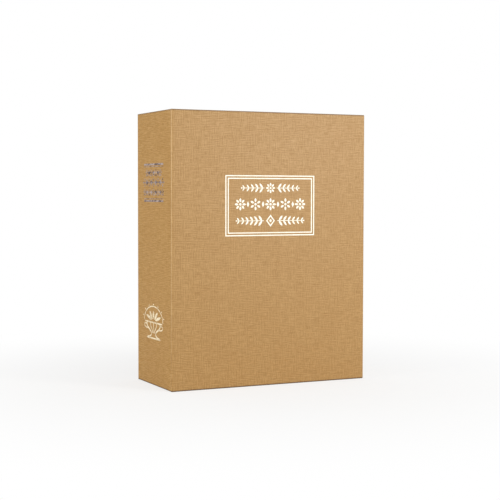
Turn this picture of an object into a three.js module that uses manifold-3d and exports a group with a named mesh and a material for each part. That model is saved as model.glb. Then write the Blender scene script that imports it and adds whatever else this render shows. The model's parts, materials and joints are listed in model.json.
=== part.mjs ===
// Book-shaped safe: a hardback case round a moulded page block, a steel box, a hinged door and a cam lock.
// Millimetres, +Z up. The book stands on its tail edge, spine towards -X, front cover towards -Y.
// The origin is the bottom centre of the closed book.

import * as THREE from 'three';
import * as BufferGeometryUtils from 'three/addons/utils/BufferGeometryUtils.js';
import Module from 'manifold-3d';

const wasm = await Module();
wasm.setup();

// Driving dimensions of the closed book
const bookHeight = 240;
const bookWidth = 188.5;
const bookThickness = 82;

// Case: grey board wrapped in cloth-textured paper, lined with an endpaper
const boardThickness = 2.5;
const wrapThickness = 0.4;
const endpaperThickness = 0.3;
const glueLine = 0.05;
const turnInWidth = 15;
const endpaperInset = 3;
const spineEndGap = 1.6;
const jointGap = 0.5;
const foldRadius = 1.2;

// Page block: one moulding, its ribs standing for the page edges
const pageInset = 3.5;
const coverClearance = 0.35;
const spineClearance = 0.6;
const mouldWall = 2.4;
const flangeThickness = 2;
const skirtThickness = 1.8;
const frameWidth = 9;
const pagePitch = 1.25;
const pageRibDepth = 0.5;
const webThickness = 1.5;
const webCountLong = 5;
const webCountShort = 3;
const bossWidth = 8;
const bossDepth = 12;

// Steel box, floor pad and door
const steelThickness = 1.2;
const doorGap = 1;
const doorRecess = 3.5;
const doorSeatGap = 0.4;
const lipOverlap = 8;
const fitClearance = 0.3;
const hingePinDiameter = 2.5;
const hingePinChamfer = 0.3;
const knuckleClearance = 0.15;
const knuckleGap = 0.4;
const knuckleCount = 7;
const knuckleRoll = THREE.MathUtils.degToRad(285);
const padThickness = 2;
const padInset = 1.5;
const padCornerRadius = 6;

// Box screws
const screwDiameter = 3;
const screwLength = 5.5;
const screwHeadDiameter = 5.6;
const screwHeadHeight = 1.9;
const screwHoleClearance = 0.2;
const screwInset = 34;

// Cam lock. Shares are of the lock body for its flats and bore, of the plug for what is cut in it, and of
// the plug's square tail for the cam screw.
const lockInset = 24;
const lockBodyDiameter = 16;
const lockBodyLength = 10;
const lockFlatShare = 0.85;
const lockBoreShare = 0.775;
const lockClearance = 0.2;
const lockHeadRim = 2;
const lockHeadThickness = 2.2;
const lockHeadEdge = 0.5;
const washerRim = 2.3;
const washerThickness = 0.8;
const nutSides = 6;
const nutRim = 3;
const nutThickness = 3;
const plugRecess = 0.4;
const plugTailShare = 0.58;
const plugWeb = 0.7;
const keywayWidth = 2;
const keywayHeightShare = 0.7;
const waferCount = 5;
const waferThickness = 0.5;
const waferClearance = 0.1;
const waferFrontWall = 1.2;
const waferWidthShare = 0.42;
const waferHeightShare = 0.9;
const waferWindowShare = 0.42;
const camThickness = 2;
const camWidth = 12;
const camBite = 6;
const camEndRadius = 4;
const camHubRadius = 8;
const camLean = 2.5;
const camClearance = 0.4;
const camScrewShare = 0.57;
const threadClearance = 0.1;
const camScrewLength = 5;
const camScrewHeadRim = 2;
const camScrewHeadHeight = 2;

// Facets of round forms, and how far a cutting solid runs past what it cuts
const roundSegments = 32;
const smallRoundSegments = 20;
const rollSegments = 20;
const foldSegments = 6;
const overrun = 2;

// Case planes: a cover is a board, its wrap with turn-ins, and an endpaper on top
const spineX = -bookWidth / 2;
const foreX = bookWidth / 2;
const frontY = -bookThickness / 2;
const backY = bookThickness / 2;
const boardDepth = wrapThickness + glueLine;
const turnInDepth = boardDepth + boardThickness + glueLine;
const endpaperDepth = turnInDepth + wrapThickness + glueLine;
const coverThickness = endpaperDepth + endpaperThickness;
const coverEndGap = coverThickness + jointGap;
const coverEndX = spineX + coverEndGap;
const spineEndYs = [frontY + spineEndGap, backY - spineEndGap];

// Page block planes, and the window in its front
const blockSpineX = spineX + coverThickness + spineClearance;
const blockForeX = foreX - pageInset;
const blockFrontY = frontY + coverThickness + coverClearance;
const blockBackY = backY - coverThickness - glueLine;
const blockTailZ = pageInset;
const blockHeadZ = bookHeight - pageInset;
const flangeBackY = blockFrontY + flangeThickness;
const windowXs = [blockSpineX + frameWidth, blockForeX - frameWidth];
const windowZs = [blockTailZ + frameWidth, blockHeadZ - frameWidth];

// Door planes. The hinge knuckles are tangent to the door's front face and to the side wall of the box.
const doorSpineX = windowXs[0] + doorGap;
const doorForeX = windowXs[1] - doorGap;
const doorZs = [windowZs[0] + doorGap, windowZs[1] - doorGap];
const doorFrontY = blockFrontY + doorRecess;
const doorRearY = doorFrontY + steelThickness;
const hingePinRadius = hingePinDiameter / 2;
const knuckleBore = hingePinRadius + knuckleClearance;
const knuckleRadius = knuckleBore + steelThickness;
const knuckleReach = knuckleRadius + knuckleGap;
const hingeX = doorSpineX + knuckleRadius;
const hingeY = doorFrontY + knuckleRadius;
const knuckleLength = (doorZs[1] - doorZs[0] - (knuckleCount - 1) * knuckleGap) / knuckleCount;

// Steel box planes. Its lip lies behind the door and the skirt.
const boxXs = [doorSpineX, windowXs[1] + skirtThickness];
const boxZs = [windowZs[0] - skirtThickness, windowZs[1] + skirtThickness];
const boxFrontY = doorRearY + doorSeatGap;
const boxBackY = blockBackY;
const boxFloorY = boxBackY - steelThickness;
const skirtBackY = boxFrontY - fitClearance;

// Lock sizes, and its planes measured back from the door's front face
const lockX = doorForeX - lockInset;
const lockZ = bookHeight / 2;
const lockBoreDiameter = lockBodyDiameter * lockBoreShare;
const plugDiameter = lockBoreDiameter - 2 * lockClearance;
const plugTailWidth = plugDiameter * plugTailShare;
const camScrewDiameter = plugTailWidth * camScrewShare;
const camReach = lockInset - lipOverlap + camBite;
const headBack = -glueLine;
const headFront = headBack - lockHeadThickness;
const washerFront = steelThickness + glueLine;
const nutFront = washerFront + washerThickness + glueLine;
const nutCornerRadius = (lockBodyDiameter / 2 + nutRim) / Math.cos(Math.PI / nutSides);
const plugFront = headFront + plugRecess;
const plugShoulder = lockBodyLength + lockClearance;
const camHubFront = plugShoulder + glueLine;
const camHubBack = camHubFront + camThickness;
const camEndFront = boxFrontY + steelThickness + camClearance - doorFrontY;
const plugBack = camHubBack - lockClearance;
const threadFront = plugBack - camScrewLength - lockClearance;
const keywayBack = threadFront - plugWeb;

const materials = {
  wrap: finish(0xc39b69, 0.75, 0),
  board: finish(0x9c9488, 0.9, 0),
  endpaper: finish(0xf2ede0, 0.85, 0),
  pages: finish(0xeee4c8, 0.6, 0),
  blackSteel: finish(0x1e1f21, 0.5, 0.3),
  chrome: finish(0xd4d6d8, 0.15, 1),
  zinc: finish(0xb4b8bc, 0.35, 1),
  brass: finish(0xc9a54f, 0.3, 1),
  felt: finish(0x2a2b30, 0.95, 0),
};

function finish(color, roughness, metalness) {
  return new THREE.MeshStandardMaterial({ color, roughness, metalness });
}

// A closed geometry as a solid for cutting and joining
function solid(geometry) {
  const bare = geometry.clone();
  bare.deleteAttribute('normal');
  bare.deleteAttribute('uv');
  const merged = BufferGeometryUtils.mergeVertices(bare);
  const mesh = new wasm.Mesh({
    numProp: 3,
    vertProperties: new Float32Array(merged.attributes.position.array),
    triVerts: new Uint32Array(merged.index.array),
  });
  return new wasm.Manifold(mesh);
}

function geometryOf(body) {
  const mesh = body.getMesh();
  const geometry = new THREE.BufferGeometry();
  geometry.setAttribute('position', new THREE.BufferAttribute(mesh.vertProperties, 3));
  geometry.setIndex(new THREE.BufferAttribute(mesh.triVerts, 1));
  geometry.computeVertexNormals();
  return geometry;
}

function slab([x0, x1], [y0, y1], [z0, z1]) {
  const geometry = new THREE.BoxGeometry(x1 - x0, y1 - y0, z1 - z0);
  return geometry.translate((x0 + x1) / 2, (y0 + y1) / 2, (z0 + z1) / 2);
}

function block(xs, ys, zs) {
  return solid(slab(xs, ys, zs));
}

// A plan outline in X and Y raised along Z
function raised(shape, [z0, z1], curveSegments) {
  const geometry = new THREE.ExtrudeGeometry(shape, { depth: z1 - z0, bevelEnabled: false, curveSegments });
  return geometry.translate(0, 0, z0);
}

// An elevation outline in X and Z carried along Y
function carried(shape, [y0, y1], curveSegments) {
  const geometry = new THREE.ExtrudeGeometry(shape, { depth: y1 - y0, bevelEnabled: false, curveSegments });
  return geometry.rotateX(Math.PI / 2).translate(0, y1, 0);
}

// A profile of [radius, y] points turned about the Y axis
function turned(points, segments) {
  return new THREE.LatheGeometry(points.map(([radius, y]) => new THREE.Vector2(radius, y)), segments);
}

function disc(radius, [y0, y1], segments) {
  return turned([[0, y0], [radius, y0], [radius, y1], [0, y1]], segments);
}

// Places of evenly spread copies between two ends, with none at the ends
function spread([from, to], count) {
  return Array.from({ length: count }, (_, index) => from + (to - from) * (index + 1) / (count + 1));
}

// The two planes at given depths below the outside of a cover, in rising order
function depths(outer, inward, from, to) {
  return [outer + inward * from, outer + inward * to].sort((a, b) => a - b);
}

// Case pieces. outer is the outside plane of a cover, and inward is the way from there to the block.
function coverBoard(outer, inward) {
  return slab(
    [coverEndX, foreX - boardDepth],
    depths(outer, inward, boardDepth, boardDepth + boardThickness),
    [boardDepth, bookHeight - boardDepth],
  );
}

function coverWrap(outer, inward) {
  const sheet = block(
    [coverEndX, foreX],
    depths(outer, inward, 0, turnInDepth + wrapThickness),
    [0, bookHeight],
  );
  const pocket = block(
    [coverEndX - overrun, foreX - wrapThickness],
    depths(outer, inward, wrapThickness, turnInDepth),
    [wrapThickness, bookHeight - wrapThickness],
  );
  const opening = block(
    [coverEndX - overrun, foreX - turnInWidth],
    depths(outer, inward, turnInDepth - boardThickness, turnInDepth + overrun),
    [turnInWidth, bookHeight - turnInWidth],
  );
  return geometryOf(sheet.subtract(pocket).subtract(opening));
}

function coverEndpaper(outer, inward) {
  return slab(
    [coverEndX + endpaperInset, foreX - endpaperInset],
    depths(outer, inward, endpaperDepth, coverThickness),
    [endpaperInset, bookHeight - endpaperInset],
  );
}

function spineBoard() {
  const xs = [spineX + boardDepth, spineX + boardDepth + boardThickness];
  return slab(xs, spineEndYs, [boardDepth, bookHeight - boardDepth]);
}

function spineWrap() {
  const pastFolds = [spineEndYs[0] - overrun, spineEndYs[1] + overrun];
  const sheet = block([spineX, spineX + turnInDepth + wrapThickness], spineEndYs, [0, bookHeight]);
  const pocket = block(
    [spineX + wrapThickness, spineX + turnInDepth],
    pastFolds,
    [wrapThickness, bookHeight - wrapThickness],
  );
  const opening = block(
    [spineX + turnInDepth - boardThickness, spineX + turnInDepth + overrun],
    pastFolds,
    [turnInWidth, bookHeight - turnInWidth],
  );
  return geometryOf(sheet.subtract(pocket).subtract(opening));
}

function spineLiner() {
  return slab(
    [spineX + endpaperDepth, spineX + coverThickness],
    [spineEndYs[0] + endpaperInset, spineEndYs[1] - endpaperInset],
    [endpaperInset, bookHeight - endpaperInset],
  );
}

// The wrap where it turns a corner of the case: a strip with a quarter round, drawn with its corner at the
// origin
function creaseStrip(outer, inward) {
  const coverEnd = coverEndGap - glueLine;
  const spineEnd = spineEndGap - glueLine;
  const shape = new THREE.Shape();
  shape.moveTo(coverEnd, 0);
  shape.lineTo(coverEnd, wrapThickness);
  shape.lineTo(foldRadius, wrapThickness);
  shape.absarc(foldRadius, foldRadius, foldRadius - wrapThickness, -Math.PI / 2, -Math.PI, true);
  shape.lineTo(wrapThickness, spineEnd);
  shape.lineTo(0, spineEnd);
  shape.lineTo(0, foldRadius);
  shape.absarc(foldRadius, foldRadius, foldRadius, Math.PI, 1.5 * Math.PI, false);
  const strip = solid(raised(shape, [0, bookHeight], foldSegments));
  const facing = inward > 0 ? strip : strip.mirror([0, 1, 0]);
  return geometryOf(facing.translate([spineX, outer, 0]));
}

// Rectangles stacked from front to back, with every other one drawn in on head, tail and fore-edge, so that
// the three edges are ribbed like pages and the spine side is plain
function pageStack() {
  const sides = 4;
  const levels = 2 * Math.round((blockBackY - blockFrontY) / pagePitch);
  const step = (blockBackY - blockFrontY) / levels;
  const corners = [];
  const faces = [[0, 1, 2], [0, 2, 3]];
  for (let level = 0; level <= levels; level += 1) {
    const y = blockFrontY + level * step;
    const inset = level % 2 === 0 ? pageRibDepth : 0;
    const x = blockForeX - inset;
    const zs = [blockTailZ + inset, blockHeadZ - inset];
    corners.push([blockSpineX, y, zs[0]], [x, y, zs[0]], [x, y, zs[1]], [blockSpineX, y, zs[1]]);
  }
  for (let level = 0; level < levels; level += 1) {
    for (let side = 0; side < sides; side += 1) {
      const here = sides * level + side;
      const next = sides * level + (side + 1) % sides;
      faces.push([here, here + sides, next], [next, here + sides, next + sides]);
    }
  }
  const last = sides * levels;
  faces.push([last, last + 2, last + 1], [last, last + 3, last + 2]);
  const geometry = new THREE.BufferGeometry();
  geometry.setAttribute('position', new THREE.Float32BufferAttribute(corners.flat(), 3));
  geometry.setIndex(faces.flat());
  return solid(geometry);
}

function windowCut() {
  return block(windowXs, [blockFrontY - overrun, blockBackY + overrun], windowZs);
}

// The skirt round the window runs back from the flange to the lip of the steel box
function skirt() {
  const outside = block(
    [windowXs[0] - skirtThickness, windowXs[1] + skirtThickness],
    [blockFrontY + flangeThickness / 2, skirtBackY],
    [windowZs[0] - skirtThickness, windowZs[1] + skirtThickness],
  );
  return outside.subtract(windowCut());
}

// Webs brace the skirt at the front and keep the steel box central behind it
function webs() {
  const bracing = [blockFrontY + flangeThickness / 2, skirtBackY];
  const guiding = [hingeY + knuckleReach, blockBackY];
  const half = webThickness / 2;
  const root = mouldWall / 2;
  const bite = skirtThickness / 2;
  const made = [];
  for (const z of spread(boxZs, webCountLong)) {
    const zs = [z - half, z + half];
    made.push(block([blockSpineX + root, windowXs[0] - bite], bracing, zs));
    made.push(block([windowXs[1] + bite, blockForeX - root], bracing, zs));
    made.push(block([blockSpineX + root, boxXs[0] - fitClearance], guiding, zs));
    made.push(block([boxXs[1] + fitClearance, blockForeX - root], guiding, zs));
  }
  for (const x of spread(boxXs, webCountShort)) {
    const xs = [x - half, x + half];
    made.push(block(xs, bracing, [blockTailZ + root, windowZs[0] - bite]));
    made.push(block(xs, bracing, [windowZs[1] + bite, blockHeadZ - root]));
    made.push(block(xs, guiding, [blockTailZ + root, boxZs[0] - fitClearance]));
    made.push(block(xs, guiding, [boxZs[1] + fitClearance, blockHeadZ - root]));
  }
  return made;
}

// Screws pass from inside the box through its tail and head walls into bosses of the moulding.
// A place is where a screw's axis leaves the inside face of the wall; outward is its way along Z.
const screwY = (boxFrontY + boxBackY) / 2;
const screwPlaces = [boxXs[0] + screwInset, boxXs[1] - screwInset].flatMap((x) => [
  { x, z: boxZs[0] + steelThickness, outward: -1 },
  { x, z: boxZs[1] - steelThickness, outward: 1 },
]);

function alongScrew(points, { x, z, outward }) {
  const geometry = turned(points, smallRoundSegments).rotateX(outward * Math.PI / 2);
  return geometry.translate(x, screwY, z);
}

function screwBore(place, radius, from, to) {
  return solid(alongScrew([[0, from], [radius, from], [radius, to], [0, to]], place));
}

function boxScrew(place) {
  const shank = screwDiameter / 2;
  const head = screwHeadDiameter / 2;
  const dome = screwHeadHeight / 2;
  return alongScrew([
    [0, -glueLine - screwHeadHeight],
    [head - dome, -glueLine - screwHeadHeight],
    [head, -glueLine - dome],
    [head, -glueLine],
    [shank, -glueLine],
    [shank, screwLength - shank],
    [0, screwLength],
  ], place);
}

function screwBoss({ x, outward }) {
  const zs = outward < 0
    ? [blockTailZ + mouldWall / 2, boxZs[0] - fitClearance]
    : [boxZs[1] + fitClearance, blockHeadZ - mouldWall / 2];
  const ys = [screwY - bossDepth / 2, screwY + bossDepth / 2];
  return block([x - bossWidth / 2, x + bossWidth / 2], ys, zs);
}

function pageBlock() {
  const hollow = block(
    [blockSpineX + mouldWall, blockForeX - mouldWall],
    [flangeBackY, blockBackY + overrun],
    [blockTailZ + mouldWall, blockHeadZ - mouldWall],
  );
  let body = pageStack().subtract(hollow).subtract(windowCut());
  for (const rib of [skirt(), ...webs(), ...screwPlaces.map(screwBoss)]) {
    body = body.add(rib);
  }
  const radius = (screwDiameter + screwHoleClearance) / 2;
  for (const place of screwPlaces) {
    body = body.subtract(screwBore(place, radius, 0, screwLength + fitClearance));
  }
  return geometryOf(body);
}

// Outline of a rolled knuckle about the pin axis. The sheet comes in along X, tangent to the knuckle, and
// curls round the pin. With swapped it comes in along Y, for the side wall of the box.
function knuckleShape(sheetLength, swapped) {
  const place = (x, y) => (swapped ? new THREE.Vector2(y, x) : new THREE.Vector2(x, y));
  const polar = (radius, angle) => place(radius * Math.cos(angle), radius * Math.sin(angle));
  const outer = [];
  const inner = [];
  for (let step = 0; step <= rollSegments; step += 1) {
    const angle = -Math.PI / 2 - knuckleRoll * step / rollSegments;
    outer.push(polar(knuckleRadius, angle));
    inner.unshift(polar(knuckleBore, angle));
  }
  const sheetEnd = [place(sheetLength, -knuckleBore), place(sheetLength, -knuckleRadius)];
  return new THREE.Shape([...outer, ...inner, ...sheetEnd]);
}

// Knuckles about the pin axis: the even ones belong to the box and the odd ones to the door
function knuckles(parity, swapped) {
  const shape = knuckleShape(knuckleReach + overrun, swapped);
  const made = [];
  for (let index = parity; index < knuckleCount; index += 2) {
    const from = doorZs[0] + index * (knuckleLength + knuckleGap);
    made.push(solid(raised(shape, [from, from + knuckleLength], rollSegments)));
  }
  return made;
}

function boxShell() {
  const clearX = hingeX + knuckleReach;
  const outside = block(boxXs, [boxFrontY, boxBackY], boxZs);
  const hollow = block(
    [boxXs[0] + steelThickness, boxXs[1] - steelThickness],
    [boxFrontY + steelThickness, boxFloorY],
    [boxZs[0] + steelThickness, boxZs[1] - steelThickness],
  );
  const mouth = block(
    [boxXs[0] + steelThickness, doorForeX - lipOverlap],
    [boxFrontY - overrun, boxFrontY + overrun],
    [doorZs[0] + lipOverlap, doorZs[1] - lipOverlap],
  );
  const hingeRelief = block(
    [boxXs[0] - overrun, clearX],
    [boxFrontY - overrun, hingeY + knuckleReach],
    [doorZs[0] - knuckleGap, doorZs[1] + knuckleGap],
  );
  const lipEnds = block(
    [boxXs[0] - overrun, clearX],
    [boxFrontY - overrun, boxFrontY + steelThickness],
    [boxZs[0] - overrun, boxZs[1] + overrun],
  );
  let body = outside.subtract(hollow).subtract(mouth).subtract(hingeRelief).subtract(lipEnds);
  for (const knuckle of knuckles(0, true)) {
    body = body.add(knuckle.translate([hingeX, hingeY, 0]));
  }
  const radius = screwDiameter / 2 + screwHoleClearance;
  for (const place of screwPlaces) {
    body = body.subtract(screwBore(place, radius, -overrun, steelThickness + overrun));
  }
  return geometryOf(body);
}

function floorPad() {
  const inset = steelThickness + padInset;
  const [x0, x1] = [boxXs[0] + inset + padCornerRadius, boxXs[1] - inset - padCornerRadius];
  const [z0, z1] = [boxZs[0] + inset + padCornerRadius, boxZs[1] - inset - padCornerRadius];
  const quarter = Math.PI / 2;
  const shape = new THREE.Shape();
  shape.absarc(x1, z0, padCornerRadius, -quarter, 0, false);
  shape.absarc(x1, z1, padCornerRadius, 0, quarter, false);
  shape.absarc(x0, z1, padCornerRadius, quarter, 2 * quarter, false);
  shape.absarc(x0, z0, padCornerRadius, 2 * quarter, 3 * quarter, false);
  const back = boxFloorY - glueLine;
  return carried(shape, [back - padThickness, back], foldSegments);
}

// The lock body's section, a round with two flats, grown all round by a clearance
function lockBody(clearance, [y0, y1]) {
  const radius = lockBodyDiameter / 2 + clearance;
  const flat = lockBodyDiameter * lockFlatShare / 2 + clearance;
  const between = block([-flat, flat], [y0 - overrun, y1 + overrun], [-radius - overrun, radius + overrun]);
  return solid(disc(radius, [y0, y1], roundSegments)).intersect(between);
}

// The door is drawn about the pin axis, with its height left as it stands in the book
function door() {
  const faceY = -knuckleRadius;
  const rearY = faceY + steelThickness;
  let body = block([knuckleReach, doorForeX - hingeX], [faceY, rearY], doorZs);
  for (const knuckle of knuckles(1, false)) {
    body = body.add(knuckle);
  }
  const hole = lockBody(lockClearance, [faceY - overrun, rearY + overrun]);
  return geometryOf(body.subtract(hole.translate([lockX - hingeX, 0, lockZ])));
}

function hingePin() {
  const [z0, z1] = doorZs;
  const end = hingePinRadius - hingePinChamfer;
  const points = [
    [0, z0],
    [end, z0],
    [hingePinRadius, z0 + hingePinChamfer],
    [hingePinRadius, z1 - hingePinChamfer],
    [end, z1],
    [0, z1],
  ];
  return turned(points, smallRoundSegments).rotateX(Math.PI / 2);
}

// Lock pieces are drawn about the lock axis, from the door's front face
const nutBoreRadius = lockBodyDiameter / 2 + lockClearance;

function lockHousing() {
  const radius = lockBodyDiameter / 2 + lockHeadRim;
  const head = solid(turned([
    [0, headFront],
    [radius - lockHeadEdge, headFront],
    [radius, headFront + lockHeadEdge],
    [radius, headBack],
    [0, headBack],
  ], roundSegments));
  const barrel = lockBody(0, [headFront + lockHeadEdge, lockBodyLength]);
  const ends = [headFront - overrun, lockBodyLength + overrun];
  const bore = solid(disc(lockBoreDiameter / 2, ends, roundSegments));
  return geometryOf(head.add(barrel).subtract(bore));
}

function lockWasher() {
  const [y0, y1] = [washerFront, washerFront + washerThickness];
  const [inner, outer] = [nutBoreRadius, nutBoreRadius + washerRim];
  return turned([[inner, y0], [outer, y0], [outer, y1], [inner, y1], [inner, y0]], roundSegments);
}

function lockNut() {
  const corners = Array.from({ length: nutSides }, (_, index) => {
    const angle = index * 2 * Math.PI / nutSides;
    return new THREE.Vector2(nutCornerRadius * Math.cos(angle), nutCornerRadius * Math.sin(angle));
  });
  const [y0, y1] = [nutFront, nutFront + nutThickness];
  const hexagon = solid(carried(new THREE.Shape(corners), [y0, y1], roundSegments));
  const bore = solid(disc(nutBoreRadius, [y0 - overrun, y1 + overrun], roundSegments));
  return geometryOf(hexagon.subtract(bore));
}

function centred(width, ys, height) {
  return block([-width / 2, width / 2], ys, [-height / 2, height / 2]);
}

function lockPlug(waferFronts) {
  const core = solid(disc(plugDiameter / 2, [plugFront, plugShoulder], roundSegments));
  const tail = centred(plugTailWidth, [plugShoulder - overrun, plugBack], plugTailWidth);
  const keyway = centred(keywayWidth, [plugFront - overrun, keywayBack], plugDiameter * keywayHeightShare);
  let body = core.add(tail).subtract(keyway);
  const slotWidth = plugDiameter * waferWidthShare + 2 * waferClearance;
  for (const front of waferFronts) {
    const slot = [front - waferClearance, front + waferThickness + waferClearance];
    body = body.subtract(centred(slotWidth, slot, plugDiameter + overrun));
  }
  const threadRadius = camScrewDiameter / 2 + threadClearance;
  const thread = solid(disc(threadRadius, [threadFront, plugBack + overrun], smallRoundSegments));
  return geometryOf(body.subtract(thread));
}

function lockWafer(front) {
  const ends = [front, front + waferThickness];
  const plate = centred(plugDiameter * waferWidthShare, ends, plugDiameter * waferHeightShare);
  const through = [ends[0] - overrun, ends[1] + overrun];
  const opening = centred(keywayWidth + 2 * waferClearance, through, plugDiameter * waferWindowShare);
  return geometryOf(plate.subtract(opening));
}

// The cam points up at rest. Its hub lies behind the lock body and its end is cranked forward to the box lip.
function lockCam() {
  const rise = camHubFront - camEndFront;
  const bend = nutCornerRadius + 3 * camClearance;
  const wall = camThickness * Math.hypot(camLean, rise) / rise;
  const slope = camLean / rise;
  const profile = [
    [camHubFront, -camHubRadius],
    [camHubFront, bend - camLean],
    [camEndFront, bend],
    [camEndFront, camReach],
    [camEndFront + camThickness, camReach],
    [camEndFront + camThickness, bend + wall - slope * camThickness],
    [camHubBack, bend + wall - slope * (rise + camThickness)],
    [camHubBack, -camHubRadius],
  ];
  const side = new THREE.Shape(profile.map(([y, z]) => new THREE.Vector2(y, z)));
  const upright = new THREE.Matrix4().makeBasis(
    new THREE.Vector3(0, 1, 0),
    new THREE.Vector3(0, 0, 1),
    new THREE.Vector3(1, 0, 0),
  );
  const strip = new THREE.ExtrudeGeometry(side, { depth: 2 * camHubRadius, bevelEnabled: false })
    .applyMatrix4(upright)
    .translate(-camHubRadius, 0, 0);
  const ends = [camEndFront - overrun, camHubBack + overrun];
  const plan = solid(carried(camPlan(), ends, smallRoundSegments));
  const hole = centred(plugTailWidth + lockClearance, ends, plugTailWidth + lockClearance);
  return geometryOf(solid(strip).intersect(plan).subtract(hole));
}

function camPlan() {
  const half = camWidth / 2;
  const neck = Math.asin(Math.sqrt(1 - (half / camHubRadius) ** 2));
  const [x, z] = [half - camEndRadius, camReach - camEndRadius];
  const shape = new THREE.Shape();
  shape.absarc(0, 0, camHubRadius, Math.PI - neck, 2 * Math.PI + neck, false);
  shape.absarc(x, z, camEndRadius, 0, Math.PI / 2, false);
  shape.absarc(-x, z, camEndRadius, Math.PI / 2, Math.PI, false);
  return shape;
}

function camScrew() {
  const under = camHubBack + glueLine;
  const shank = camScrewDiameter / 2;
  const head = shank + camScrewHeadRim;
  const tip = threadFront + lockClearance;
  const top = under + camScrewHeadHeight;
  const points = [[0, tip], [shank, tip], [shank, under], [head, under], [head, top], [0, top]];
  return turned(points, smallRoundSegments);
}

// Assembly
function piece(parent, name, geometry, material) {
  const mesh = new THREE.Mesh(geometry, material);
  mesh.name = name;
  parent.add(mesh);
}

function addCase(parent) {
  const covers = [
    { name: 'front', outer: frontY, inward: 1 },
    { name: 'back', outer: backY, inward: -1 },
  ];
  for (const { name, outer, inward } of covers) {
    piece(parent, `${name}_board`, coverBoard(outer, inward), materials.board);
    piece(parent, `${name}_wrap`, coverWrap(outer, inward), materials.wrap);
    piece(parent, `${name}_endpaper`, coverEndpaper(outer, inward), materials.endpaper);
    piece(parent, `${name}_crease`, creaseStrip(outer, inward), materials.wrap);
  }
  piece(parent, 'spine_board', spineBoard(), materials.board);
  piece(parent, 'spine_wrap', spineWrap(), materials.wrap);
  piece(parent, 'spine_liner', spineLiner(), materials.endpaper);
}

function addBlock(parent) {
  piece(parent, 'page_block', pageBlock(), materials.pages);
  piece(parent, 'box_shell', boxShell(), materials.blackSteel);
  piece(parent, 'floor_pad', floorPad(), materials.felt);
  screwPlaces.forEach((place, index) => {
    piece(parent, `box_screw_${index + 1}`, boxScrew(place), materials.zinc);
  });
}

function addDoor(parent) {
  piece(parent, 'door', door(), materials.blackSteel);
  piece(parent, 'hinge_pin', hingePin(), materials.zinc);
}

function addLock(parent) {
  const firstWafer = plugFront + waferFrontWall;
  const waferPitch = (keywayBack - firstWafer) / waferCount;
  const waferFronts = Array.from({ length: waferCount }, (_, index) => firstWafer + index * waferPitch);
  piece(parent, 'lock_housing', lockHousing(), materials.chrome);
  piece(parent, 'lock_washer', lockWasher(), materials.zinc);
  piece(parent, 'lock_nut', lockNut(), materials.zinc);
  piece(parent, 'lock_plug', lockPlug(waferFronts), materials.chrome);
  piece(parent, 'lock_cam', lockCam(), materials.zinc);
  piece(parent, 'cam_screw', camScrew(), materials.zinc);
  waferFronts.forEach((front, index) => {
    piece(parent, `lock_wafer_${index + 1}`, lockWafer(front), materials.brass);
  });
}

const safe = new THREE.Group();
addCase(safe);
addBlock(safe);

const doorGroup = new THREE.Group();
doorGroup.position.set(hingeX, hingeY, 0);
addDoor(doorGroup);
safe.add(doorGroup);

const lockGroup = new THREE.Group();
lockGroup.position.set(lockX, doorFrontY, lockZ);
addLock(lockGroup);
safe.add(lockGroup);

export default safe;
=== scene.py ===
# Book safe: finished surfaces, foil blocking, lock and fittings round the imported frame.
# Lengths in the dictionaries are in millimetres and the scales of grains in cycles per metre.
import json
import math
import random

import bmesh
import bpy
from bmesh.types import BMEdge, BMVert
from mathutils import Euler, Matrix, Vector, noise
from mathutils.geometry import interpolate_bezier


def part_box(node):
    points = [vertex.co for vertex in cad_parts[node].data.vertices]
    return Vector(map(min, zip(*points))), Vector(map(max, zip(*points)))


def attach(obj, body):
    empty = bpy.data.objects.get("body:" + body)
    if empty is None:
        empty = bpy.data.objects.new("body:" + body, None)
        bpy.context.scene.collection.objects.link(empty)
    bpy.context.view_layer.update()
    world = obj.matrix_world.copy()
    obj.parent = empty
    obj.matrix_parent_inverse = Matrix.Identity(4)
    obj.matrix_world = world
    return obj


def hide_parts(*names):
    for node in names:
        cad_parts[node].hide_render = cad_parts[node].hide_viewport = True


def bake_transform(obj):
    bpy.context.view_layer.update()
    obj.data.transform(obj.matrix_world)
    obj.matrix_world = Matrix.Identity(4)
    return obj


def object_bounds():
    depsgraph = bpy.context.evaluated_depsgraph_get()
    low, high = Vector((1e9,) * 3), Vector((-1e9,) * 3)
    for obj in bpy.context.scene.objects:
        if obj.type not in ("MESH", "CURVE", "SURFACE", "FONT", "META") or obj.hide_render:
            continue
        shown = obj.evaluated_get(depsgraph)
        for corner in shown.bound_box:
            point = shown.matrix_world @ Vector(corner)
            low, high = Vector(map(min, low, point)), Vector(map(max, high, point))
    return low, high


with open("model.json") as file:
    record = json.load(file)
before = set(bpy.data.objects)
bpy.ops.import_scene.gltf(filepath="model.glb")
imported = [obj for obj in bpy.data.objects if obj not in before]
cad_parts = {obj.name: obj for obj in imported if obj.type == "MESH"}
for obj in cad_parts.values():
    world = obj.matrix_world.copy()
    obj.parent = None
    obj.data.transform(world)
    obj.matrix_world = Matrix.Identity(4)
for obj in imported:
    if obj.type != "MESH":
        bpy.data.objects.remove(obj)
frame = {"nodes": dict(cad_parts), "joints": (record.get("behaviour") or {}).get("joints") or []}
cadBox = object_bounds()
nodes = frame["nodes"]
joints = {joint["name"]: joint for joint in frame["joints"]}
mm = 0.001
print("frame loaded:", len(nodes), "nodes")


# A socket that can be used in sums
class Wire:
    def __init__(self, wiring, socket):
        self.wiring = wiring
        self.socket = socket

    def __add__(self, other):
        return self.wiring.sum("ADD", self, other)

    def __sub__(self, other):
        return self.wiring.sum("SUBTRACT", self, other)

    def __rsub__(self, other):
        return self.wiring.sum("SUBTRACT", other, self)

    def __mul__(self, other):
        return self.wiring.sum("MULTIPLY", self, other)

    __radd__ = __add__
    __rmul__ = __mul__

    def beside(self, name):  # another output of the same node
        return Wire(self.wiring, self.socket.node.outputs[name])


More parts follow.
